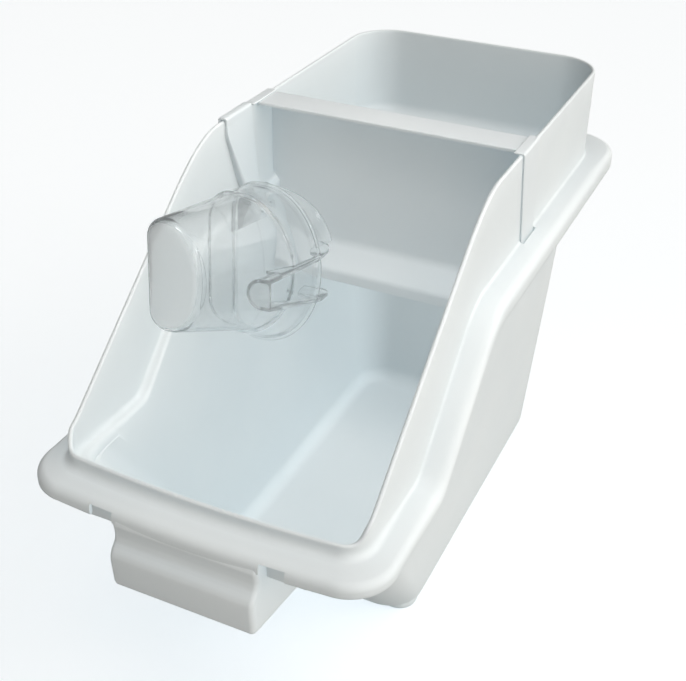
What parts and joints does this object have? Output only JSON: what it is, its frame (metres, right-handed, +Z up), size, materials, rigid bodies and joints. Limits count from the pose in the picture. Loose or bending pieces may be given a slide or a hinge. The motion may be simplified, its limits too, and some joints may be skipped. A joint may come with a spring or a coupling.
{
  "type": "slant-front feed bin with scoop",
  "caption": "Slant-front feed and ingredient bin with an open mouth, a drop-in divider, a scoop hook on the rim and a clear scoop.",
  "frame": {"origin": "centre of the flat base, on the floor", "axes": "+Z up, -Y towards the low open mouth, +X to the right seen from the mouth"},
  "size_m": [0.29, 0.623, 0.4044],
  "materials": {
    "white_polypropylene": "satin moulded",
    "divider_plastic": "satin moulded",
    "hook_plastic": "satin moulded",
    "clear_polycarbonate": "clear polished"
  },
  "bodies": {
    "tub": {"bin_body": "white_polypropylene"},
    "divider": {"divider": "divider_plastic"},
    "hook": {"scoop_hook": "hook_plastic"},
    "scoop": {"scoop": "clear_polycarbonate"}
  },
  "joints": [
    {"name": "divider_lift", "type": "slide", "parent": "tub", "child": "divider", "axis": [0, 0, 1], "range_m": [0, 0.17]},
    {"name": "hook_lift", "type": "slide", "parent": "tub", "child": "hook", "axis": [0, 0, 1], "range_m": [0, 0.19]},
    {"name": "scoop_lift", "type": "slide", "parent": "hook", "child": "scoop", "axis": [0.4226, 0, 0.9063], "range_m": [0, 0.21]}
  ]
}
